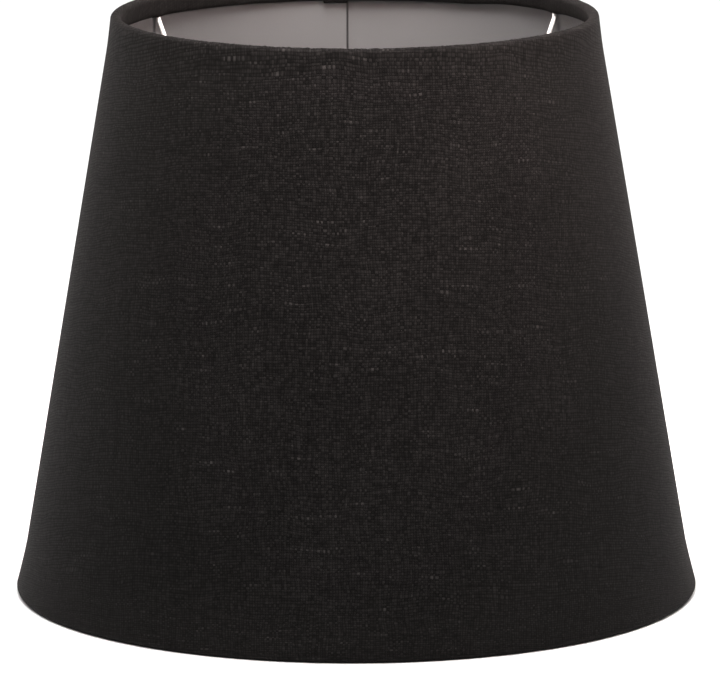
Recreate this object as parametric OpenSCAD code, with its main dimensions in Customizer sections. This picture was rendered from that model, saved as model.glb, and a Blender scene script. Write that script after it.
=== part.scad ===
// Tapered hard-back lamp shade: linen stuck to a stiff lining and rolled over two wire rings,
// with a recessed three-arm spider, a fitter ring and a lift-out reducer ring.
// Millimetres, +Z up. The origin is at the middle of the circle that the shade stands on.

/* [Cone] */
// Outside diameter at the bottom edge
bottom_d = 281; // [240:1:320]
// Outside diameter at the top edge
top_d = 199.6; // [170:0.1:220]
// Overall height
height = 240; // [200:1:280]

/* [Skin] */
// Thickness of the linen
cloth_t = 0.6; // [0.5:0.1:0.8]
// Thickness of the lining sheet
lining_t = 0.4; // [0.3:0.1:0.5]
// How far the bottom ring pushes the skin out past the straight cone
bottom_flare = 1.2; // [0.4:0.1:2]
// Height over which the bottom flare dies away
bottom_flare_len = 18; // [12:1:26]
// How far the top ring pushes the skin out past the straight cone
top_flare = 0.6; // [0.2:0.1:1.2]
// Height over which the top flare dies away
top_flare_len = 13; // [10:1:20]
// Depth of the turned edge inside the shade, from the crest
hem_depth = 9; // [7:0.5:11]
// Width of the back seam's lap
lap_w = 10; // [8:1:14]
// Place of the lap's inner edge, across the back
lap_edge_x = -3.2; // [-6:0.1:0]

/* [Frame] */
// Diameter of the top and bottom ring wire
ring_wire = 2.5; // [2:0.1:3]
// Diameter of the arm wire
arm_wire = 1.75; // [1.5:0.05:2]
// Length of an arm's first run, straight down from the top ring behind the turned edge
arm_drop = 8; // [7:0.5:11]
// Slope of an arm below the turned edge, in degrees below level
arm_slope = 67; // [55:1:75]
// Radius of the bend between an arm's steep and level runs
arm_bend_r = 8; // [6:1:12]
// Direction of the right-hand back arm, in degrees from +X
right_arm_angle = 32; // [28:0.1:34]
// Direction of the left-hand back arm, in degrees from +X
left_arm_angle = 146.8; // [146:0.1:152]
// Direction of the front arm, in degrees from +X
front_arm_angle = 270; // [268:0.1:272]

/* [Fitter] */
// Depth of the fitter ring's top face below the shade's top
fitter_drop = 38; // [30:1:45]
// Hole in the fitter ring
fitter_hole = 42.2; // [42:0.1:44]
// Outside diameter of the fitter ring
fitter_d = 52; // [50:1:56]
// Thickness of the fitter ring's sheet steel
fitter_t = 1.2; // [1:0.1:1.5]
// Height of the fitter ring with its skirt
fitter_h = 5; // [4.5:0.5:7]
// Lampholder hole in the reducer ring
reducer_hole = 29; // [28.5:0.1:30]
// Clearance all round between the reducer's hub and the fitter's hole
reducer_gap = 0.25; // [0.2:0.05:0.4]
// Diameter of the reducer's flange
reducer_d = 50; // [48:1:54]
// Thickness of the reducer's walls
reducer_t = 1.6; // [1.4:0.1:2]
// Depth of the reducer's walls below its flange
reducer_depth = 4; // [3:0.5:6]

/* [Hidden] */
tape_t = 0.15;
glue_line = 0.05;       // left between stacked layers
wire_gap = 0.1;         // between a ring wire and the cloth or lining round it
slit_gap = 0.15;        // round an arm where it passes through the turned edge
flare_power = 1.3;      // how sharply a flare dies away
flare_steps = 8;
tuck_depth = 1.35;      // height of the fold where a turned edge tucks back under itself
tuck_lap = 1.5;         // height of the tucked end, which the tape holds
roll_lean = 0.2;        // how far a turned edge leans back to the wall on its way to the fold
roll_step = 15;         // degrees between points of a roll's outline
tuck_step = 30;         // degrees between points of a fold's outline
curve = 96;             // facets of a previewed curve
wire_curve = 32;        // facets round a previewed wire
through = 1;            // how far a cutting shape runs past the face that it opens
bend_steps = 8;         // stations round each of an arm's bends
drop_slope = 93;        // slope of an arm's first run, in degrees below level
drop_bend_r = 3;        // radius of the bend at the end of the first run
wire_sides = 16;        // facets round an arm's wire
BOTTOM = 0;
TOP = 1;

ring_r = ring_wire / 2;
roll_r = ring_r + wire_gap + cloth_t;
lining_in = cloth_t + glue_line;
skin_reach = roll_r + glue_line + lining_t;
hem_end = hem_depth - roll_r;
tuck_back = hem_end - tuck_depth;
tuck_end = tuck_back - tuck_lap;
flare = [bottom_flare, top_flare];
flare_len = [bottom_flare_len, top_flare_len];
centre_r = [bottom_d / 2 - skin_reach, top_d / 2 - skin_reach];
centre_z = [roll_r, height - roll_r];
taper = atan((centre_r[BOTTOM] - centre_r[TOP]) / (centre_z[TOP] - centre_z[BOTTOM]));
fitter_z = height - fitter_drop;
arm_z = fitter_z - fitter_h / 2;
drop_r = centre_r[TOP] - arm_drop * cos(drop_slope);
drop_z = centre_z[TOP] - arm_drop * sin(drop_slope);
drop_cut = drop_bend_r * tan((drop_slope - arm_slope) / 2);
bend_r = drop_r - (drop_z - arm_z) / tan(arm_slope);
bend_cut = arm_bend_r * tan(arm_slope / 2);
lap_far_x = lap_edge_x - lap_w;
lap_lip = 1;            // solid cloth kept at the lap's fold
lap_margin = 0.5;       // tape stops this short of the lap's open edge

// A point near one end: u is outwards from the ring wire's centre, square to the taper,
// and w is along the taper, towards that end's crest.
function end_point(end, u, w) =
    let (along = end == TOP ? w : -w)
    [
        centre_r[end] + u * cos(taper) - along * sin(taper),
        centre_z[end] + u * sin(taper) + along * cos(taper)
    ];

// How far the linen's outer face stands from the ring-centre line, a distance back from the ring
function face_u(end, back) =
    skin_reach - flare[end] + flare[end] * pow(max(0, 1 - back / flare_len[end]), flare_power);

// One end's run of the straight skin, from the end of its flare to a distance short of the ring
function skin_run(end, inset, short) = [
    for (k = [flare_steps:-1:0])
        let (back = short + (flare_len[end] - short) * k / flare_steps)
        end_point(end, face_u(end, back) - inset, -back)
];

function reverse(list) = [for (k = [len(list) - 1:-1:0]) list[k]];

// The straight skin at a depth below the linen's outer face, from bottom to top
function skin(inset, short = 0) = concat(
    reverse(skin_run(BOTTOM, inset, short)), skin_run(TOP, inset, short)
);

// A layer of the skin between two depths below the linen's outer face
module skin_layer(outer, inner, short = 0) {
    rotate_extrude($fn = curve)
        polygon(concat(skin(outer, short), reverse(skin(inner, short))));
}

// The face of the lining that a turned edge is taped to
function lining_u(end, back) = face_u(end, back) - lining_in - lining_t - glue_line;

// The face of the tape that the tucked end of the linen lies on
function tape_u(end, back) = lining_u(end, back) - tape_t - glue_line;

// A turned edge's outer face as u and w: over the ring, down inside, and back under itself to the tape
function hem_face(end) =
    let (half = (tape_u(end, tuck_back) + roll_r - roll_lean) / 2, middle = tape_u(end, tuck_back) - half)
    concat(
        [for (a = [roll_step:roll_step:90]) [skin_reach * cos(a), roll_r * sin(a)]],
        [for (a = [90 + roll_step:roll_step:180]) [roll_r * cos(a), roll_r * sin(a)]],
        [for (a = [180:tuck_step:360]) [middle + half * cos(a), tuck_depth * sin(a) - tuck_back]],
        [[tape_u(end, tuck_end), -tuck_end]]
    );

// A path moved square to itself, to its left
function beside(path, distance) = [
    for (k = [0:len(path) - 1])
        let (step = path[min(k + 1, len(path) - 1)] - path[max(k - 1, 0)])
        path[k] + distance / norm(step) * [-step[1], step[0]]
];

// One side of a turned edge, at a depth below the linen's outer face
function hem(end, inset) = [for (p = beside(hem_face(end), inset)) end_point(end, p[0], p[1])];

// The closed outline of the linen: out round both rolled edges and back one thickness inside
function cover_outline() = concat(
    reverse(hem(BOTTOM, 0)), skin(0), hem(TOP, 0),
    reverse(hem(TOP, cloth_t)), reverse(skin(cloth_t)), hem(BOTTOM, cloth_t)
);

// The stretch of the back between two places across it
module back_strip(from_x, to_x) {
    translate([from_x, 0, -height])
        cube([to_x - from_x, bottom_d, height * 3]);
}

// The slit that an arm's first run passes through in the turned edge
module arm_slit() {
    translate([centre_r[TOP], 0, centre_z[TOP]])
        rotate([0, 270 - drop_slope, 0])
            cylinder(r = arm_wire / 2 + slit_gap, h = arm_drop, $fn = wire_curve);
}

module ring_wire_at(end) {
    rotate_extrude($fn = curve)
        translate([centre_r[end], centre_z[end]])
            circle(r = ring_r, $fn = wire_curve);
}

// The linen, with the lap folded over at the back and a slit for each arm in its turned edge
module linen_cover() {
    color("#2c2929")
        difference() {
            union() {
                rotate_extrude($fn = curve)
                    polygon(cover_outline());
                intersection() {
                    skin_layer(-cloth_t - tape_t, cloth_t / 2);
                    back_strip(lap_far_x, lap_edge_x);
                }
            }
            intersection() {
                skin_layer(-tape_t, 0);
                back_strip(lap_far_x - lap_margin, lap_edge_x - lap_lip);
            }
            for (angle = [right_arm_angle, left_arm_angle, front_arm_angle])
                rotate([0, 0, angle])
                    arm_slit();
        }
}

// The lining sheet. Its ends lap at the back, where the second thickness stops short of both turned edges.
module lining() {
    color("#989290")
        union() {
            skin_layer(lining_in, lining_in + lining_t);
            intersection() {
                skin_layer(lining_in + lining_t / 2, lining_in + lining_t * 2, hem_end + lap_lip);
                back_strip(lap_far_x, lap_edge_x);
            }
        }
}

// Double-sided tape inside the lap
module seam_tape() {
    color("#d8d2c2")
        intersection() {
            skin_layer(-tape_t, 0);
            back_strip(lap_far_x + lap_margin, lap_edge_x - lap_lip);
        }
}

// Adhesive strip between a turned edge's tucked end and the lining
module hem_tape(end) {
    color("#d8d2c2")
        rotate_extrude($fn = curve)
            polygon([
                end_point(end, lining_u(end, tuck_end), -tuck_end),
                end_point(end, lining_u(end, tuck_end) - tape_t, -tuck_end),
                end_point(end, lining_u(end, tuck_back) - tape_t, -tuck_back),
                end_point(end, lining_u(end, tuck_back), -tuck_back)
            ]);
}

module top_ring() {
    color("#ecebe8")
        ring_wire_at(TOP);
}

module bottom_ring() {
    color("#ecebe8")
        ring_wire_at(BOTTOM);
}

// Places round a bend that starts at a point, from one slope to a gentler one, each as its
// distance from the axis, height and slope
function bend(start, radius, from, to) = [
    for (k = [0:bend_steps])
        let (slope = from + (to - from) * k / bend_steps)
        [start[0] + radius * (sin(slope) - sin(from)), start[1] - radius * (cos(slope) - cos(from)), slope]
];

// A point a distance back up a run of this slope
function back_up(point, distance, slope) =
    [point[0] + distance * cos(slope), point[1] + distance * sin(slope)];

// Places along an arm from the top ring to the fitter
function arm_stations() = concat(
    [[centre_r[TOP], centre_z[TOP], drop_slope]],
    bend(back_up([drop_r, drop_z], drop_cut, drop_slope), drop_bend_r, drop_slope, arm_slope),
    bend(back_up([bend_r, arm_z], bend_cut, arm_slope), arm_bend_r, arm_slope, 0),
    [[fitter_d / 2 - fitter_t, arm_z, 0]]
);

// A round wire in the XZ plane through stations of distance, height and slope
module wire_through(stations, d) {
    sides = wire_sides;
    last = len(stations) - 1;
    points = [
        for (s = stations, j = [0:sides - 1])
            let (a = 360 * j / sides)
            [s[0] - d / 2 * cos(a) * sin(s[2]), d / 2 * sin(a), s[1] + d / 2 * cos(a) * cos(s[2])]
    ];
    near_cap = [[for (j = [0:sides - 1]) j]];
    far_cap = [[for (j = [sides - 1:-1:0]) last * sides + j]];
    walls = [
        for (i = [0:last - 1], j = [0:sides - 1], half = [0, 1])
            let (here = i * sides, there = here + sides, next = (j + 1) % sides)
            half == 0 ? [here + j, there + j, there + next] : [here + j, there + next, here + next]
    ];
    polyhedron(points, concat(near_cap, far_cap, walls));
}

// One arm: butted against the top ring, straight down, in along its slope, and level to the fitter's skirt
module arm(angle) {
    color("#f0efec")
        rotate([0, 0, angle])
            difference() {
                wire_through(arm_stations(), arm_wire);
                ring_wire_at(TOP);
                translate([0, 0, arm_z - arm_wire])
                    cylinder(d = fitter_d, h = arm_wire * 2, $fn = curve);
            }
}

module arm_back_right() {
    arm(right_arm_angle);
}

module arm_back_left() {
    arm(left_arm_angle);
}

module arm_front() {
    arm(front_arm_angle);
}

// Pressed steel ring: a flat flange with a skirt that the arms are welded to
module fitter_ring() {
    color("#ecebe8")
        difference() {
            translate([0, 0, fitter_z - fitter_h])
                cylinder(d = fitter_d, h = fitter_h, $fn = curve);
            translate([0, 0, fitter_z - fitter_h - through])
                cylinder(d = fitter_d - fitter_t * 2, h = fitter_h - fitter_t + through, $fn = curve);
            translate([0, 0, fitter_z - fitter_h])
                cylinder(d = fitter_hole, h = fitter_h + through, $fn = curve);
        }
}

// Moulded ring that drops into the fitter: a flange, a hub that fills the hole and a collar
// for the lampholder
module reducer_ring() {
    hub_r = fitter_hole / 2 - reducer_gap;
    collar_r = reducer_hole / 2 + reducer_t;
    color("#f4f3f0")
        difference() {
            union() {
                translate([0, 0, fitter_z])
                    cylinder(d = reducer_d, h = reducer_t, $fn = curve);
                translate([0, 0, fitter_z - reducer_depth])
                    cylinder(r = hub_r, h = reducer_depth + reducer_t / 2, $fn = curve);
            }
            translate([0, 0, fitter_z - reducer_depth - through])
                difference() {
                    cylinder(r = hub_r - reducer_t, h = reducer_depth + through, $fn = curve);
                    translate([0, 0, -through])
                        cylinder(r = collar_r, h = reducer_depth + through * 3, $fn = curve);
                }
            translate([0, 0, fitter_z - reducer_depth - through])
                cylinder(d = reducer_hole, h = reducer_depth + reducer_t + through * 2, $fn = curve);
        }
}

linen_cover();
lining();
seam_tape();
hem_tape(TOP);  // top_hem_tape
hem_tape(BOTTOM);  // bottom_hem_tape
top_ring();
bottom_ring();
arm_back_right();
arm_back_left();
arm_front();
fitter_ring();
reducer_ring();
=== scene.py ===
"""A tapered linen lamp shade: rolled edges over two wire rings, a stiff grey lining, and a recessed
wire spider that carries a fitter ring and a lift-out reducer ring. Metres, +Z up."""

import math

import bpy
import numpy as np
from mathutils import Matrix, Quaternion, Vector


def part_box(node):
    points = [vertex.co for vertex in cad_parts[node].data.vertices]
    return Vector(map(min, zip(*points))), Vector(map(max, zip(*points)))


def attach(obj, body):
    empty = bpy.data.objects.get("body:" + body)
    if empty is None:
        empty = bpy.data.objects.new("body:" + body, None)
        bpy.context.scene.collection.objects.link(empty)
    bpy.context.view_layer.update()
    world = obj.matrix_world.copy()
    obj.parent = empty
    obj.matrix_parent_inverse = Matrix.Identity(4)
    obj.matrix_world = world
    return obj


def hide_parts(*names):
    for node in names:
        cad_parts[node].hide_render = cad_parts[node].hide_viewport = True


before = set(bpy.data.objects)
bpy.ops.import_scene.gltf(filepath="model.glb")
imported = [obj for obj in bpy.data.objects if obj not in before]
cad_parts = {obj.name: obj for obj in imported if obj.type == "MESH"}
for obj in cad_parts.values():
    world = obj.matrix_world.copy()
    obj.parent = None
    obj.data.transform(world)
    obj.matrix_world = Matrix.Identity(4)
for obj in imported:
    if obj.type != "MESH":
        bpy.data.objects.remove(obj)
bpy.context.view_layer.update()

# ---------------------------------------------------------------------------------------------
# Top and bottom ring wires
# Two hoops of drawn steel wire, butt-welded and powder-coated white. They hold the two ends of
# the cone round, and the rolled linen hides them.

MM = 0.001

top_wire_low, top_wire_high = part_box("top_ring")
bottom_wire_low, bottom_wire_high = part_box("bottom_ring")
ring_wire = top_wire_high.z - top_wire_low.z
TOP = {"r": top_wire_high.x - ring_wire / 2, "z": top_wire_high.z - ring_wire / 2, "up": 1}
BOTTOM = {"r": bottom_wire_high.x - ring_wire / 2, "z": bottom_wire_high.z - ring_wire / 2, "up": -1}


class Finish:
    """A new material with its Principled shader, and short ways to add nodes to it."""

    def __init__(self, name):
        self.material = bpy.data.materials.new(name)
        self.material.use_nodes = True
        self.tree = self.material.node_tree
        self.shader = self.tree.nodes["Principled BSDF"]

    def add(self, kind, inputs=(), **settings):
        """A node of this kind, with its inputs as (name or number, value or socket) pairs."""
        made = self.tree.nodes.new("ShaderNode" + kind)
        for key, value in settings.items():
            setattr(made, key, value)
        for key, value in inputs:
            self.put(made.inputs[key], value)
        return made

    def put(self, socket, value):
        if isinstance(value, bpy.types.NodeSocket):
            self.tree.links.new(value, socket)
        else:
            socket.default_value = value

    def set(self, **values):
        for key, value in values.items():
            self.put(self.shader.inputs[key.replace("_", " ")], value)

    def math(self, operation, first, second=0.0, third=0.0):
        inputs = [(0, first), (1, second), (2, third)]
        return self.add("Math", inputs, operation=operation).outputs[0]

    def noise(self, vector, scale, detail=2.0, roughness=0.5):
        inputs = [("Vector", vector), ("Scale", scale), ("Detail", detail), ("Roughness", roughness)]
        return self.add("TexNoise", inputs).outputs["Fac"]

    def spread(self, value, low, high, to_low, to_high):
        """value's range from low to high, mapped to another range and held inside it."""
        inputs = [("Value", value), (1, low), (2, high), (3, to_low), (4, to_high)]
        return self.add("MapRange", inputs).outputs[0]

    def ramp(self, value, low, dark, high, light):
        """A colour that runs from dark to light as value goes from low to high."""
        made = self.add("ValToRGB", [("Fac", value)])
        for element, place, colour in zip(made.color_ramp.elements, (low, high), (dark, light)):
            element.position = place
            element.color = (*colour, 1)
        return made.outputs["Color"]

    def bump(self, height, distance, strength):
        inputs = [("Height", height), ("Distance", distance), ("Strength", strength)]
        return self.add("Bump", inputs).outputs["Normal"]


def powder_coat(name, light, dark, peel):
    """White baked powder: a soft gloss with fine orange peel and a trace of uneven colour."""
    coat = Finish(name)
    place = coat.add("TexCoord").outputs["Object"]
    patches = coat.noise(place, 60)
    skin = coat.noise(place, 1 / peel, 3)
    coat.set(
        Base_Color=coat.ramp(patches, 0.3, dark, 0.7, light),
        Roughness=coat.spread(skin, 0.3, 0.7, 0.3, 0.46),
        Normal=coat.bump(skin, 0.03 * MM, 0.6),
        Coat_Weight=0.15,
        Coat_Roughness=0.2,
    )
    return coat.material


def give(node, material):
    """Puts a material on a CAD node's own slots."""
    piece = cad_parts[node]
    piece.data.materials.clear()
    piece.data.materials.append(material)


white_coat = powder_coat("white powder coat", (0.88, 0.87, 0.85), (0.8, 0.79, 0.77), 1.1 * MM)
for hoop in ("top_ring", "bottom_ring"):
    give(hoop, white_coat)

# ---------------------------------------------------------------------------------------------
# Spider arms
# Three lengths of thinner wire, each welded to the top ring, bent twice, and welded to the skirt
# of the fitter ring. They hang the fitter well below the rim, so that no lampholder shows.

ARMS = {"arm_back_right": 32.0, "arm_back_left": 146.8, "arm_front": 270.0}
ARM_DROP = 8 * MM            # the first run, straight down behind the turned edge
DROP_SLOPE = math.radians(93)
DROP_BEND_R = 3 * MM
ARM_SLOPE = math.radians(67)
ARM_BEND_R = 8 * MM
WELD_LENGTH = 1.6 * MM
WELD_SWELL = 0.55 * MM
WELD_REACH = 3 * MM          # the end of the wire that has closer points, for the weld's curve
RING_SINK = 0.2 * MM         # how far the wire runs into the ring, and into the skirt
SKIRT_SINK = 0.1 * MM

arm_low, arm_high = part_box("arm_front")
fitter_low, fitter_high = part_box("fitter_ring")
arm_wire_r = (arm_high.x - arm_low.x) / 2
arm_z = arm_low.z + arm_wire_r
fitter_r = fitter_high.x


def make_mesh(name, points, faces, material, smooth=True):
    """A new piece of this material, in the scene."""
    mesh = bpy.data.meshes.new(name)
    mesh.from_pydata([tuple(p) for p in points], [], [tuple(int(i) for i in f) for f in faces])
    mesh.validate()
    mesh.materials.append(material)
    mesh.polygons.foreach_set("use_smooth", [smooth] * len(mesh.polygons))
    piece = bpy.data.objects.new(name, mesh)
    bpy.context.scene.collection.objects.link(piece)
    return piece


def arm_line():
    """Points down the arm as distance from the axis, height and slope, from ring to skirt."""

    def run(start, slope, length, count):
        """Points down a straight run, with the point past its end as a Vector."""
        way = Vector((-math.cos(slope), -math.sin(slope)))
        for far in np.linspace(0, length, count + 1)[:-1]:
            line.append((*(start + way * far), slope))
        return start + way * length

    def bend(start, radius, slope, after, count):
        """Points round a bend from one slope to the next, with its last point as a Vector."""
        base = start - radius * Vector((math.sin(slope), -math.cos(slope)))
        for s in np.linspace(slope, after, count + 1)[:-1]:
            line.append((*(base + radius * Vector((math.sin(s), -math.cos(s)))), s))
        return base + radius * Vector((math.sin(after), -math.cos(after)))

    line = []
    drop_cut = DROP_BEND_R * math.tan((DROP_SLOPE - ARM_SLOPE) / 2)
    bend_cut = ARM_BEND_R * math.tan(ARM_SLOPE / 2)
    down = Vector((math.cos(DROP_SLOPE), math.sin(DROP_SLOPE)))
    drop_end = Vector((TOP["r"], TOP["z"])) - ARM_DROP * down
    steep_length = (drop_end.y - arm_z) / math.sin(ARM_SLOPE)
    here = Vector((TOP["r"], TOP["z"] - ring_wire / 2 + RING_SINK))
    here = run(here, DROP_SLOPE, ARM_DROP - drop_cut - ring_wire / 2 + RING_SINK, 14)
    here = bend(here, DROP_BEND_R, DROP_SLOPE, ARM_SLOPE, 8)
    here = run(here, ARM_SLOPE, steep_length - drop_cut - bend_cut, 10)
    here = bend(here, ARM_BEND_R, ARM_SLOPE, 0.0, 18)
    skirt = fitter_r - SKIRT_SINK
    here = run(here, 0.0, here.x - skirt - WELD_REACH, 10)
    run(here, 0.0, here.x - skirt, 9)
    return line + [(skirt, arm_z, 0.0)]


def wire_arm(name, angle, sides=20):
    """A round wire along arm_line, swelling into a bead of weld at each end."""
    line = arm_line()
    turn = math.radians(angle)
    turn_sin, turn_cos = math.sin(turn), math.cos(turn)
    rows = []
    start, end = line[0], line[-1]
    for out, height, slope in line:
        gap = min(math.hypot(out - e[0], height - e[1]) for e in (start, end))
        swell = WELD_SWELL * max(0.0, 1 - gap / WELD_LENGTH) ** 1.4
        for k in range(sides):
            a = 2 * math.pi * k / sides
            lumpy = 1 + 0.12 * math.sin(3 * a + angle) * swell / WELD_SWELL
            r = (arm_wire_r + swell) * lumpy
            x = out - r * math.cos(a) * math.sin(slope)
            y = r * math.sin(a)
            z = height + r * math.cos(a) * math.cos(slope)
            rows.append((x * turn_cos - y * turn_sin, x * turn_sin + y * turn_cos, z))
    faces = [list(range(sides)), list(range(len(rows) - 1, len(rows) - sides - 1, -1))]
    for i in range(len(line) - 1):
        for k in range(sides):
            here, beside = i * sides + k, i * sides + (k + 1) % sides
            faces.append((here, here + sides, beside + sides, beside))
    return make_mesh(name + "_wire", rows, faces, white_coat)


for arm, angle in ARMS.items():
    piece = wire_arm(arm, angle)
    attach(piece, "shade")
    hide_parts(arm)

# ---------------------------------------------------------------------------------------------
# Fitter ring
# A washer pressed from sheet steel with its outer edge turned down into a skirt, which stiffens
# it and takes the three welds. It is powder-coated with the spider, in one piece.

SHEET_STEEL = 1.2 * MM
FITTER_HOLE_R = 21.1 * MM


def rounded(corners, radius, steps=4):
    """A closed outline of (r, z) corners with each corner rounded off, where there is room."""
    outline = []
    count = len(corners)
    for k in range(count):
        here = Vector(corners[k])
        back, ahead = Vector(corners[k - 1]) - here, Vector(corners[(k + 1) % count]) - here
        cut = min(radius, back.length * 0.45, ahead.length * 0.45)
        start, end = here + back.normalized() * cut, here + ahead.normalized() * cut
        for step in range(steps + 1):
            t = step / steps
            outline.append(start * (1 - t) ** 2 + here * 2 * t * (1 - t) + end * t**2)
    return outline


def turned(name, outline, material, segments=160):
    """The closed outline turned about the Z axis."""
    points, faces = [], []
    rows = len(outline)
    for s in range(segments):
        a = 2 * math.pi * s / segments
        for r, z in outline:
            points.append((r * math.cos(a), r * math.sin(a), z))
    for s in range(segments):
        for k in range(rows):
            near, far = s * rows, (s + 1) % segments * rows
            faces.append((near + k, far + k, far + (k + 1) % rows, near + (k + 1) % rows))
    return make_mesh(name, points, faces, material)


fitter_top, fitter_bottom = fitter_high.z, fitter_low.z
fitter_outline = rounded(
    [
        (FITTER_HOLE_R, fitter_top - SHEET_STEEL),
        (fitter_r - SHEET_STEEL, fitter_top - SHEET_STEEL),
        (fitter_r - SHEET_STEEL, fitter_bottom),
        (fitter_r, fitter_bottom),
        (fitter_r, fitter_top),
        (FITTER_HOLE_R, fitter_top),
    ],
    0.6 * MM,
)
fitter = turned("fitter_ring_pressing", fitter_outline, white_coat)
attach(fitter, "shade")
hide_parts("fitter_ring")

# ---------------------------------------------------------------------------------------------
# Reducer ring
# A white plastic moulding that drops into the fitter: a flat flange, a hub that fills the steel
# ring's hole, a collar round the lampholder's hole, and short webs between hub and collar.

REDUCER_HOLE_R = 14.5 * MM
REDUCER_HUB_R = 20.85 * MM
REDUCER_WALL = 1.6 * MM
WEB_COUNT = 6
WEB_THICK = 1.2 * MM
reducer_low, reducer_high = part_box("reducer_ring")


def moulded_plastic():
    """White plastic from a mould with a fine spark-eroded texture."""
    plastic = Finish("white moulded plastic")
    place = plastic.add("TexCoord").outputs["Object"]
    grain = plastic.noise(place, 2600, 2)
    flow = plastic.noise(place, 45, 2)
    plastic.set(
        Base_Color=plastic.ramp(flow, 0.3, (0.82, 0.815, 0.79), 0.7, (0.87, 0.865, 0.845)),
        Roughness=plastic.spread(grain, 0.3, 0.7, 0.42, 0.56),
        Normal=plastic.bump(grain, 0.02 * MM, 0.5),
        IOR=1.49,
    )
    plastic.set(Subsurface_Weight=0.08, Subsurface_Scale=1.5 * MM)
    return plastic.material


flange_r, flange_top, flange_under, hub_end = reducer_high.x, reducer_high.z, fitter_top, reducer_low.z
reducer_outline = rounded(
    [
        (REDUCER_HOLE_R, hub_end),
        (REDUCER_HOLE_R + REDUCER_WALL, hub_end),
        (REDUCER_HOLE_R + REDUCER_WALL, flange_under),
        (REDUCER_HUB_R - REDUCER_WALL, flange_under),
        (REDUCER_HUB_R - REDUCER_WALL, hub_end),
        (REDUCER_HUB_R, hub_end),
        (REDUCER_HUB_R, flange_under),
        (flange_r, flange_under),
        (flange_r, flange_top),
        (REDUCER_HOLE_R, flange_top),
    ],
    0.4 * MM,
)
white_plastic = moulded_plastic()
reducer = turned("reducer_ring_moulding", reducer_outline, white_plastic)


def moulded_web(number):
    """One radial web under the flange, with its lower edge set back from the hub's."""
    a = 2 * math.pi * (number + 0.5) / WEB_COUNT
    along, across = Vector((math.cos(a), math.sin(a), 0)), Vector((-math.sin(a), math.cos(a), 0))
    near, far = REDUCER_HOLE_R + REDUCER_WALL - 0.2 * MM, REDUCER_HUB_R - REDUCER_WALL + 0.2 * MM
    points = []
    for z, half in ((hub_end + 0.8 * MM, WEB_THICK * 0.4), (flange_under + 0.2 * MM, WEB_THICK * 0.55)):
        for out, side in ((near, -1), (far, -1), (far, 1), (near, 1)):
            points.append(along * out + across * half * side + Vector((0, 0, z)))
    faces = [(3, 2, 1, 0), (4, 5, 6, 7), (0, 1, 5, 4), (1, 2, 6, 5), (2, 3, 7, 6), (3, 0, 4, 7)]
    return make_mesh(f"reducer_web_{number + 1}", points, faces, white_plastic, smooth=False)


webs = [moulded_web(number) for number in range(WEB_COUNT)]
for web in webs:
    bevel = web.modifiers.new("edge", "BEVEL")
    bevel.width = 0.15 * MM
    bevel.segments = 2
    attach(web, "reducer")
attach(reducer, "reducer")
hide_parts("reducer_ring")

# ---------------------------------------------------------------------------------------------
# Lining
# A thin grey plastic sheet with an adhesive back, cut as a sector of a ring and rolled into the
# cone. Its ends lap at the back, where the cut edge shows as a step with dark linen behind it, and a
# painted shadow darkens the film along that step.

CLOTH = 0.6 * MM
LINING = 0.4 * MM
SKIN_GAP = 0.05 * MM
WIRE_GAP = 0.1 * MM
BOTTOM.update(flare=1.2 * MM, flare_len=18 * MM)
TOP.update(flare=0.6 * MM, flare_len=13 * MM)
FLARE_POWER = 1.3
LAP_INNER = 3.2 * MM         # the lap's inner edge, measured round the back from +Y towards -X
LAP_OUTER = 13.2 * MM
LAP_RISE = 1.0 * MM
LAP_LIFT_FROM = 62 * MM      # the top layer starts to lift here and is fully up at the next place
LAP_LIFT_TO = 10 * MM
SEAM_LINE = 0.3 * MM         # half the width of the dark line along the lap's inner edge

roll_r = ring_wire / 2 + WIRE_GAP + CLOTH
skin_reach = roll_r + LINING + SKIN_GAP
slant = math.hypot(BOTTOM["r"] - TOP["r"], TOP["z"] - BOTTOM["z"])
taper = math.asin((BOTTOM["r"] - TOP["r"]) / slant)


def cone_point(end, u, w):
    """(r, z) of a point that lies u outwards from the ring wire, square to the taper, and w along
    the taper towards the end's crest."""
    along = w * end["up"]
    return (
        end["r"] + u * math.cos(taper) - along * math.sin(taper),
        end["z"] + u * math.sin(taper) + along * math.cos(taper),
    )


def face_u(end, back):
    """How far the linen's outer face stands out, a distance back from the ring."""
    left = max(0.0, 1 - back / end["flare_len"])
    return skin_reach - end["flare"] + end["flare"] * left**FLARE_POWER


def wall(inset, flare_rows, middle_rows):
    """The straight skin as (r, z) from bottom to top, at a depth below the linen's outer face."""
    ends = []
    for end in (BOTTOM, TOP):
        backs = np.linspace(0.0, end["flare_len"], flare_rows)
        ends.append([cone_point(end, face_u(end, b) - inset, -b) for b in backs])
    low, high = np.array(ends[0]), np.array(ends[1][::-1])
    middle = low[-1] + (high[0] - low[-1]) * np.linspace(0, 1, middle_rows + 2)[1:-1, None]
    return np.vstack([low, middle, high])


def fine_near(edges, reach, coarse, fine, near):
    """Places from -reach to reach, coarse apart, and fine apart close to each edge."""
    places = list(np.arange(-reach, reach + coarse / 2, coarse))
    places = [p for p in places if all(abs(p - e) > near for e in edges)]
    for e in edges:
        places += list(np.arange(-near, near + fine / 2, fine) + e)
    return np.array(sorted(places))


def smoothstep(t):
    """0 up to t = 0, 1 from t = 1, and a smooth rise between."""
    t = np.clip(t, 0, 1)
    return t * t * (3 - 2 * t)


SEAM_REACH = 40 * MM
seam_places = fine_near((LAP_INNER, LAP_OUTER), SEAM_REACH, 1.6 * MM, 0.16 * MM, 0.8 * MM)
ROUND_COLUMNS = 640


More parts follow.
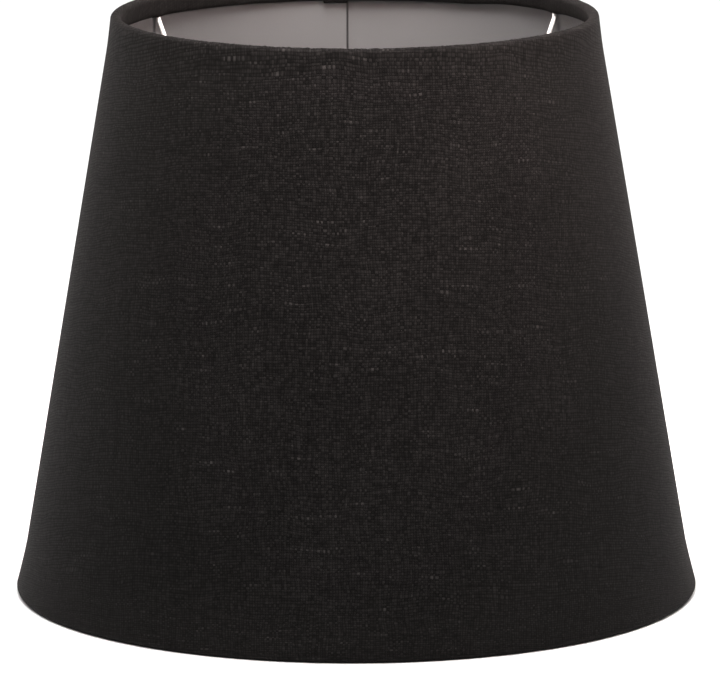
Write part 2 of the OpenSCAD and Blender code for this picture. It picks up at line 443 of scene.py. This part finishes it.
def columns_at(r):
    """Angles round the cone at radius r: set places across the seam, then even steps round the rest.
    The first column is just past the lap's outer edge and the last is on the lap's top layer."""
    seam = math.pi / 2 + seam_places / r
    rest = np.linspace(seam[-1], seam[0] + 2 * math.pi, ROUND_COLUMNS + 1)[1:-1]
    past = seam_places > LAP_OUTER + 0.01 * MM
    return np.concatenate([seam[past], rest, seam[~past] + 2 * math.pi])


def ripple(angle, z):
    """The slow unevenness of a hand-rolled cone, in metres."""
    flat_spot = 0.10 * np.sin(2 * angle + 0.6 + 3 * z) + 0.07 * np.sin(3 * angle - 1.1 - 8 * z)
    return (flat_spot + 0.04 * np.sin(7 * angle + 20 * z + 0.4) + 0.03 * np.sin(11 * angle - 31 * z)) * MM


def cloth_cut(angle, r):
    """Where a point of the cone lies on the flat cut, in millimetres, with the thread straight at
    the front. The angle is turned so that the front is in the middle of the cut."""
    from_front = angle - 1.5 * math.pi
    spread = from_front * math.sin(taper)
    reach = r / math.sin(taper) / MM
    return reach * np.sin(spread), -reach * np.cos(spread)


def rolled(name, outline, material, shape, cuts=None):
    """A closed outline of (r, z) taken round the cone. shape(angle, arc, r, z, row) moves the points,
    with arc the distance round from the seam. The flat cut's place is kept in the attribute "cut"."""
    rows, points, cut = len(outline), [], []
    for row, (r, z) in enumerate(outline):
        angle = columns_at(r)
        arc = (np.mod(angle - math.pi / 2 + math.pi, 2 * math.pi) - math.pi) * r
        new_r, new_z = shape(angle, arc, np.full_like(angle, r), np.full_like(angle, z), row)
        points.append(np.stack([new_r * np.cos(angle), new_r * np.sin(angle), new_z], 1))
        x, y = cloth_cut(angle, r if cuts is None else cuts[row])
        cut.append(np.stack([x, y, np.zeros_like(x)], 1))
    count = len(points[0])
    k, c = np.meshgrid(np.arange(rows), np.arange(count), indexing="ij")
    after_k, after_c = (k + 1) % rows, (c + 1) % count
    corners = [k * count + c, k * count + after_c, after_k * count + after_c, after_k * count + c]
    faces = np.stack(corners, -1).reshape(-1, 4)
    piece = make_mesh(name, np.vstack(points), faces, material)
    kept = piece.data.attributes.new("cut", "FLOAT_VECTOR", "POINT")
    kept.data.foreach_set("vector", np.vstack(cut).astype(np.float32).ravel())
    return piece


def lining_sheet():
    """Grey satin film, with a dark line along the lap: partly the linen's dark cut edge and partly a
    painted shadow of the step. The weave behind it just shows through as a faint relief."""
    film = Finish("grey lining film")
    place = film.add("TexCoord").outputs["Object"]
    cut = film.add("Attribute", attribute_name="cut").outputs["Vector"]
    cloud = film.noise(place, 14, 3)
    print_through = film.noise(cut, 0.9, 2)
    x, y, _ = film.add("SeparateXYZ", [(0, place)]).outputs
    # The dark line along the lap's inner edge is partly the linen's dark cut edge and partly a painted
    # shadow of the step; it is painted only at the back.
    from_edge = film.math("ABSOLUTE", film.math("ADD", x, LAP_INNER))
    edge = film.spread(from_edge, SEAM_LINE, SEAM_LINE * 2, 0.25, 1.0)
    at_front = film.math("LESS_THAN", y, 0.0)
    kept = film.math("MAXIMUM", edge, at_front)
    grey = film.ramp(cloud, 0.3, (0.12, 0.121, 0.122), 0.7, (0.1245, 0.1255, 0.1265))
    film.set(
        Base_Color=film.add("VectorMath", [(0, grey), ("Scale", kept)], operation="SCALE").outputs[0],
        Roughness=film.spread(print_through, 0.3, 0.7, 0.42, 0.55),
        Normal=film.bump(print_through, 0.05 * MM, 0.5),
        Specular_IOR_Level=0.45,
    )
    return film.material


def lining_shape(angle, arc, r, z, row):
    """Lifts the end that lies on top of the lap, and lets it down again beyond the lap."""
    on_top = arc > LAP_INNER
    risen = smoothstep((LAP_LIFT_FROM - arc) / (LAP_LIFT_FROM - LAP_LIFT_TO))
    lift = np.where(on_top, LAP_RISE * risen, 0.0)
    return r + ripple(angle, z) - lift, z


grey_film = lining_sheet()
lining_outline = np.vstack([
    wall(CLOTH + SKIN_GAP, 4, 14),
    wall(CLOTH + SKIN_GAP + LINING, 4, 14)[::-1],
])
lining = rolled("lining_sheet", lining_outline, grey_film, lining_shape)
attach(lining, "shade")
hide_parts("lining")

# ---------------------------------------------------------------------------------------------
# Tapes
# Double-sided tape in the lap of the back seam, and a strip of the same under each tucked edge.
# They are all hidden in the finished shade.


def tape():
    """Cream adhesive tape with a slightly uneven, tacky face."""
    glue = Finish("adhesive tape")
    place = glue.add("TexCoord").outputs["Object"]
    tack = glue.noise(place, 400, 3)
    glue.set(
        Base_Color=glue.ramp(tack, 0.3, (0.62, 0.57, 0.46), 0.7, (0.7, 0.66, 0.56)),
        Roughness=glue.spread(tack, 0.3, 0.7, 0.3, 0.6),
        Normal=glue.bump(tack, 0.03 * MM, 0.5),
    )
    return glue.material


cream_tape = tape()
for strip in ("seam_tape", "top_hem_tape", "bottom_hem_tape"):
    give(strip, cream_tape)

# ---------------------------------------------------------------------------------------------
# Linen cover
# Charcoal plain-weave linen, cut with its thread straight at the front and stuck to the lining.
# Each edge is rolled over its ring and tucked back under itself, and the ends lap at the back.

THREAD = 1.09 * MM           # from one thread to the next
UNEVEN = 1.9                 # how unevenly the threads are spaced, in millimetres
DRIFT = 5.0                  # how far the whole weave wanders, in millimetres
SHIVER_ACROSS = 0.5          # how fast the unevenness changes, per millimetre
SHIVER_ALONG = 0.04
THREAD_ROUND = 3.4           # how steeply a thread falls away to its sides
CRIMP = 0.65                 # how much a thread dips where it goes under
# The weave's colour contrast and its pale slubs are painted strongest at the front middle and upper part
# of the cut, where the key light falls, and fade towards the sides and the bottom; the next two ranges
# set that painted fade.
MIDDLE_OF_CUT = (20.0, 115.0)          # the weave and its slubs fade from here to here, in millimetres
LOWER_PART_OF_CUT = (-840.0, -700.0)   # from the bottom edge to the middle, in millimetres
SLUB_PALE = 2.9              # how much paler a slub is than its thread
HEM_DEPTH = 9 * MM
TUCK_DEPTH = 2.2 * MM
TUCK_LAP = 1.5 * MM
TAPE_AND_GLUE = 0.25 * MM
ROLL_LEAN = 0.2 * MM
ARM_COVER = 0.35 * MM        # how far the turned edge swells over an arm
ARM_COVER_WIDTH = 3.4 * MM
ARM_COVER_DROP = 0.5 * MM
HEM_WAVER = 0.16 * MM        # how far the tuck wavers up and down
HEM_SAG = 0.3 * MM           # the tuck hangs a little low, except at the back right
HEM_RISE = 1.4 * MM
HEM_RISE_AT = math.radians(25)
HEM_WAVES = (3, 5, 9, 14, 23, 37)    # waves round the edge
LAP_DROP = 1.0 * MM          # how much lower the tuck hangs in the lap
STEP_FROM = 26 * MM          # where the lap's step starts to swell, before the seam
STEP_LENGTH = 24 * MM
CREST_WAVER = 0.06 * MM      # how far the crest wavers, apart from its single threads
CREST_THREADS = 0.078 * MM   # how far single threads stand up along the fold
CREST_SHARE = 0.165          # how far round the turned edge its crest lies
CREST_WIDTH = 0.07           # how much of the turned edge the standing threads take up
LAP_CREST = 0.6              # how much of the lap's step shows on the top edge's crest
LAP_INSIDE = 0.4             # and how much shows inside

hem_end = HEM_DEPTH - roll_r
tuck_back = hem_end - TUCK_DEPTH


def tuck_u(end, back):
    """How far out the tucked cloth's own outer face lies, a distance back from the ring."""
    return face_u(end, back) - CLOTH - SKIN_GAP - LINING - TAPE_AND_GLUE


def roll_path(end):
    """The turned edge's outer face as (u, w): over the ring, down inside and back under itself."""
    far_u = tuck_u(end, tuck_back)
    half = (far_u + roll_r - ROLL_LEAN) / 2
    quarter = np.radians(np.linspace(0, 90, 6)[1:])
    path = [(skin_reach * math.cos(a), roll_r * math.sin(a)) for a in quarter]
    path += [(-roll_r * math.sin(a), roll_r * math.cos(a)) for a in quarter]
    path += [(-roll_r + ROLL_LEAN * 0.5, -tuck_back * 0.5)]
    path += [
        (far_u - half + half * math.cos(a), TUCK_DEPTH * math.sin(a) - tuck_back)
        for a in np.radians(np.linspace(180, 360, 8))
    ]
    return np.array(path + [(tuck_u(end, tuck_back - TUCK_LAP), TUCK_LAP - tuck_back)])


def hem_run(end):
    """How much cloth one turned edge takes, from the wall to the tucked end."""
    return np.linalg.norm(np.diff(roll_path(end), axis=0), axis=1).sum()


def moved_left(path, distance):
    """The path moved square to itself, to its left."""
    step = np.gradient(path, axis=0)
    step /= np.linalg.norm(step, axis=1)[:, None]
    return path + distance * np.stack([-step[:, 1], step[:, 0]], 1)


def cover_rows():
    """The linen's closed outline as (r, z), with the end each row belongs to and how far round the
    turned edge it lies: 0 on the wall, 1 at the tucked end, and the cut's radius for its thread."""
    outline, roll, radius = [], [], []

    def take(points, share, end, radii):
        for (r, z), s, cut_r in zip(points, share, radii):
            outline.append((r, z))
            roll.append((end, s))
            radius.append(cut_r)

    def edge(end, inset):
        path = roll_path(end)
        steps = np.linalg.norm(np.diff(np.vstack([[skin_reach, 0], path]), axis=0), axis=1)
        way = np.cumsum(steps)
        ring_radius = cone_point(end, skin_reach, 0)[0]
        radii = ring_radius - end["up"] * way * math.sin(taper)
        points = [cone_point(end, u, w) for u, w in moved_left(path, inset)]
        return points, way / way[-1], radii

    for inset, turn in ((0.0, 1), (CLOTH, -1)):
        low, high = edge(BOTTOM, inset), edge(TOP, inset)
        straight = wall(inset, 7 if turn > 0 else 4, 26 if turn > 0 else 6)
        parts = [
            (low[0][::-1], low[1][::-1], BOTTOM, low[2][::-1]),
            (straight, [0.0] * len(straight), TOP, [p[0] for p in straight]),
            (high[0], high[1], TOP, high[2]),
        ]
        for points, share, end, radii in parts[::turn]:
            take(points[::turn], share[::turn], end, radii[::turn])
    return np.array(outline), roll, radius


def thread_place(cloth, cut, along, across, seed):
    """Which thread a point lies on, counted across the cloth, with uneven gaps from thread to thread."""
    from_side = cloth.math("MULTIPLY", across, SHIVER_ACROSS)
    from_end = cloth.math("MULTIPLY", along, SHIVER_ALONG)
    where = cloth.add("CombineXYZ", [(0, from_side), (1, from_end), (2, seed)]).outputs[0]
    shiver = cloth.math("SUBTRACT", cloth.noise(where, 1.0, 1), 0.5)
    elsewhere = cloth.add("VectorMath", [(0, cut), (1, (seed, 9.0, 0.0))]).outputs[0]
    drift = cloth.math("SUBTRACT", cloth.noise(elsewhere, 0.03, 2), 0.5)
    shivered = cloth.math("MULTIPLY_ADD", shiver, UNEVEN, across)
    moved = cloth.math("MULTIPLY_ADD", drift, DRIFT, shivered)
    return cloth.math("DIVIDE", moved, THREAD / MM)


def thread_tone(cloth, number, along, seed):
    """A value that changes slowly along each thread and differs from one thread to the next."""
    from_end = cloth.math("MULTIPLY", along, 0.1)
    own = cloth.math("MULTIPLY", number, 7.31)
    where = cloth.add("CombineXYZ", [(0, from_end), (1, own), (2, seed)]).outputs[0]
    return cloth.noise(where, 1.0, 2)


def weave(cloth):
    """The plain weave over the cut: height of the thread on top, its tone, its slubs, the cell's own
    value, whether the weft is on top, and how strongly the weave shows, which is painted strongest
    where the key light falls."""
    cut = cloth.add("Attribute", attribute_name="cut").outputs["Vector"]
    x, y, _ = cloth.add("SeparateXYZ", [(0, cut)]).outputs
    warp = thread_place(cloth, cut, y, x, 3.0)
    weft = thread_place(cloth, cut, x, y, 17.0)
    column, row = cloth.math("FLOOR", warp), cloth.math("FLOOR", weft)
    weft_up = cloth.math("FLOORED_MODULO", cloth.math("ADD", column, row), 2.0)

    side = cloth.math("SUBTRACT", cloth.math("FRACT", warp), 0.5)
    end = cloth.math("SUBTRACT", cloth.math("FRACT", weft), 0.5)
    swap = cloth.math("MULTIPLY", weft_up, cloth.math("SUBTRACT", end, side))
    across, along = cloth.math("ADD", side, swap), cloth.math("SUBTRACT", end, swap)
    across_squared = cloth.math("MULTIPLY", across, across)
    round_over = cloth.math("SUBTRACT", 1.0, cloth.math("MULTIPLY", across_squared, THREAD_ROUND))
    wave = cloth.math("COSINE", cloth.math("MULTIPLY", along, math.pi))
    crimp = cloth.math("MULTIPLY_ADD", wave, CRIMP, 1 - CRIMP)
    place = cloth.add("CombineXYZ", [(0, column), (1, row)]).outputs[0]
    cell = cloth.add("TexWhiteNoise", [("Vector", place)]).outputs["Value"]
    proud = cloth.math("MULTIPLY_ADD", cell, 0.5, 0.75)
    height = cloth.math("MULTIPLY", cloth.math("MULTIPLY", round_over, crimp), proud)

    tones = [thread_tone(cloth, column, weft, 1.5), thread_tone(cloth, row, warp, 8.5)]
    tone = cloth.math("MULTIPLY_ADD", weft_up, cloth.math("SUBTRACT", tones[1], tones[0]), tones[0])
    slub = cloth.spread(tone, 0.63, 0.8, 0.0, 1.0)
    # Painted light: the weave's strength is highest at the front middle and upper part of the cut, where
    # the key light falls, and lower towards the sides and the bottom.
    middle = cloth.spread(cloth.math("ABSOLUTE", x), *MIDDLE_OF_CUT, 1.0, 0.35)
    lit_weave_strength = cloth.math("MULTIPLY", middle, cloth.spread(y, *LOWER_PART_OF_CUT, 0.55, 1.0))
    on_weft = cloth.math("MULTIPLY_ADD", weft_up, 0.75, 0.25)
    # Slubs are painted palest at the front middle of the cut, where the key light falls.
    kept = cloth.math("MULTIPLY", on_weft, middle)
    return cut, height, tone, cloth.math("MULTIPLY", slub, kept), cell, weft_up, lit_weave_strength


def charcoal_linen():
    """Dark threads, each float of each thread a little lighter or darker, with paler dry slubs. The
    weave also carries painted light and shade: darker gaps between threads, lighter weft floats,
    and a contrast painted strongest where the key light falls.
    """
    cloth = Finish("charcoal linen")
    cut, height, tone, slub, cell, weft_up, lit_weave_strength = weave(cloth)
    fibre = cloth.noise(cut, 3.5, 2, 0.6)
    patches = cloth.noise(cut, 0.02, 3)
    # The thread's colour runs darker where its height is low: painted shade in the gaps between threads
    # and a painted highlight on their crowns.
    thread = cloth.ramp(height, 0.1, (0.0052, 0.0048, 0.0046), 1.0, (0.0122, 0.0113, 0.0110))
    change = cloth.math("MULTIPLY", cloth.math("SUBTRACT", cell, 0.5), 0.7)
    float_tone = cloth.math("MULTIPLY_ADD", change, lit_weave_strength, 1.0)
    thread_part = cloth.math("MULTIPLY_ADD", tone, 0.8, 0.6)
    uneven = cloth.math("MULTIPLY_ADD", patches, 0.5, 0.75)
    # Weft floats are painted lighter than warp floats: a painted highlight from above on the horizontal
    # floats, not a different yarn.
    over = cloth.math("MULTIPLY_ADD", weft_up, 0.16, 0.92)
    by_thread = cloth.math("MULTIPLY", float_tone, thread_part)
    by_place = cloth.math("MULTIPLY", uneven, over)
    shade = cloth.math("MULTIPLY", by_thread, by_place)
    pale = cloth.math("MULTIPLY_ADD", slub, SLUB_PALE, shade)
    toned = cloth.add("VectorMath", [(0, thread), ("Scale", pale)], operation="SCALE")
    relief = cloth.math("MULTIPLY_ADD", fibre, 0.15, cloth.math("MULTIPLY_ADD", slub, 0.3, height))
    cloth.set(
        Base_Color=toned.outputs[0],
        Roughness=cloth.spread(height, 0.0, 1.0, 0.95, 0.75),
        Normal=cloth.bump(relief, 0.13 * MM, lit_weave_strength),
        Specular_IOR_Level=0.06,
        Sheen_Weight=0.02,
        Sheen_Roughness=0.45,
        Sheen_Tint=(0.9, 0.82, 0.78, 1),
    )
    return cloth.material


cover_outline, cover_roll, cover_cut = cover_rows()
arm_angles = np.radians(list(ARMS.values()))
rng = np.random.default_rng(11)
hem_drift = rng.uniform(0, 2 * math.pi, len(HEM_WAVES))
crest_threads = rng.normal(0, CREST_THREADS, len(seam_places) + ROUND_COLUMNS - 1)


def cover_shape(angle, arc, r, z, row):
    """Adds what the hands leave: the lap's step, a slightly uneven hem, and swellings over the arms."""
    end, share = cover_roll[row]
    step = (arc < LAP_OUTER) * LAP_RISE * smoothstep((arc + STEP_FROM) / STEP_LENGTH)
    uneven = sum(
        math.cos(hem_drift[k]) * np.sin(n * angle + hem_drift[k]) / (1 + 0.12 * n)
        for k, n in enumerate(HEM_WAVES)
    )
    inside = smoothstep((share - 0.25) / 0.5)
    shallow = smoothstep((np.cos(angle - HEM_RISE_AT) - 0.8) / 0.12)
    hem_shift = end["up"] * inside * (HEM_RISE * shallow - HEM_SAG - HEM_WAVER * uneven)
    in_lap = (arc > LAP_INNER) & (arc < LAP_OUTER)
    hem_shift -= end["up"] * inside * in_lap * LAP_DROP
    swell = 0.0
    if end is TOP:
        for a in arm_angles:
            apart = (np.mod(angle - a + math.pi, 2 * math.pi) - math.pi) * r
            near = np.exp(-((apart / ARM_COVER_WIDTH) ** 2))
            swell = swell + near * inside * ARM_COVER
            hem_shift = hem_shift - near * inside * ARM_COVER_DROP
    round_edge = min(share / CREST_SHARE, 2.0) * math.pi / 2
    step_up = step * math.sin(round_edge) * (LAP_CREST if end is TOP else 0.0)
    crest = CREST_WAVER * uneven * (1 if share > 0 else 0)
    if end is TOP:
        crest = crest + crest_threads * math.exp(-(((share - CREST_SHARE) / CREST_WIDTH) ** 2))
    step_out = step * math.cos(round_edge) * (1.0 if share < CREST_SHARE else LAP_INSIDE)
    new_r = r + ripple(angle, z) + step_out - swell
    return new_r, z + hem_shift + crest * end["up"] + step_up


linen = charcoal_linen()
cover = rolled("linen_skin", cover_outline, linen, cover_shape, cover_cut)
cover_run = slant + hem_run(TOP) + hem_run(BOTTOM)
far = BOTTOM["r"] / math.sin(taper) + hem_run(BOTTOM)
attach(cover, "shade")
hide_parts("linen_cover")

# ---------------------------------------------------------------------------------------------
# Studio
# A white floor that runs out of sight, one large soft light overhead, one behind each side, one
# over the rim and a warm one at each front corner. The camera stands back with a long lens.

FLOOR_HALF = 30.0


def plain_floor():
    """Matt white paint, bright enough under the lights to come out pure white."""
    ground = Finish("white floor")
    place = ground.add("TexCoord").outputs["Object"]
    cloud = ground.noise(place, 1.5, 2)
    ground.set(
        Base_Color=ground.ramp(cloud, 0.2, (0.93, 0.93, 0.93), 0.8, (0.95, 0.95, 0.95)),
        Roughness=0.8,
    )
    return ground.material


floor = make_mesh(
    "studio_floor",
    [(x * FLOOR_HALF, y * FLOOR_HALF, 0) for x, y in ((-1, -1), (1, -1), (1, 1), (-1, 1))],
    [(0, 1, 2, 3)],
    plain_floor(),
)


def soft_box(name, place, target, width, height, power, colour=(1, 1, 1), spread=180):
    """A rectangular lamp at place that faces target. A narrow spread stands for a grid on its front."""
    light = bpy.data.lights.new(name, "AREA")
    light.shape = "RECTANGLE"
    light.size, light.size_y = width, height
    light.energy = power
    light.color = colour
    light.spread = math.radians(spread)
    lamp = bpy.data.objects.new(name, light)
    lamp.location = place
    lamp.rotation_mode = "QUATERNION"
    lamp.rotation_quaternion = (Vector(target) - Vector(place)).to_track_quat("-Z", "Y")
    bpy.context.scene.collection.objects.link(lamp)


WARM = (1.0, 0.74, 0.68)
FAINTLY_WARM = (1.0, 0.93, 0.91)
soft_box("overhead_light", (0, 0, 3.6), (0, 0, 0), 4.6, 4.6, 270)
soft_box("left_rear_light", (-0.9, 0.8, 0.5), (0, 0, 0.15), 0.5, 0.8, 2.1)
soft_box("right_rear_light", (0.9, 0.8, 0.5), (0, 0, 0.2), 0.5, 0.8, 0.5)
soft_box("rim_light", (0.01, -0.12, 0.6), (0.025, 0.1, 0.2), 0.2, 0.2, 1.05, FAINTLY_WARM, spread=60)
soft_box("left_key_light", (-0.3, -0.27, 0.43), (-0.08, -0.07, 0.25), 0.2, 0.2, 0.084, WARM, spread=60)
soft_box("right_key_light", (0.3, -0.27, 0.43), (0.08, -0.07, 0.25), 0.2, 0.2, 0.253, WARM, spread=60)

world = bpy.data.worlds.new("studio")
bpy.context.scene.world = world
world.use_nodes = True
world.node_tree.nodes["Background"].inputs["Color"].default_value = (1, 1, 1, 1)
world.node_tree.nodes["Background"].inputs["Strength"].default_value = 0.06

CAMERA_BACK = 3.0519
CAMERA_UP = 0.6917
CAMERA_DOWN = math.radians(10.886)
CAMERA_ROLL = math.radians(-0.156)
camera_data = bpy.data.cameras.new("camera")
camera_data.lens = 377.2
camera_data.sensor_width = 36
camera_data.shift_x = 0.0058
camera_data.shift_y = 0.0007
camera_data.clip_end = 100
camera = bpy.data.objects.new("camera", camera_data)
camera.location = (0, -CAMERA_BACK, CAMERA_UP)
camera.rotation_mode = "QUATERNION"
level = Quaternion((1, 0, 0), math.pi / 2 - CAMERA_DOWN)
camera.rotation_quaternion = level @ Quaternion((0, 0, 1), CAMERA_ROLL)
bpy.context.scene.collection.objects.link(camera)
bpy.context.scene.camera = camera
bpy.context.scene.view_settings.view_transform = "Standard"
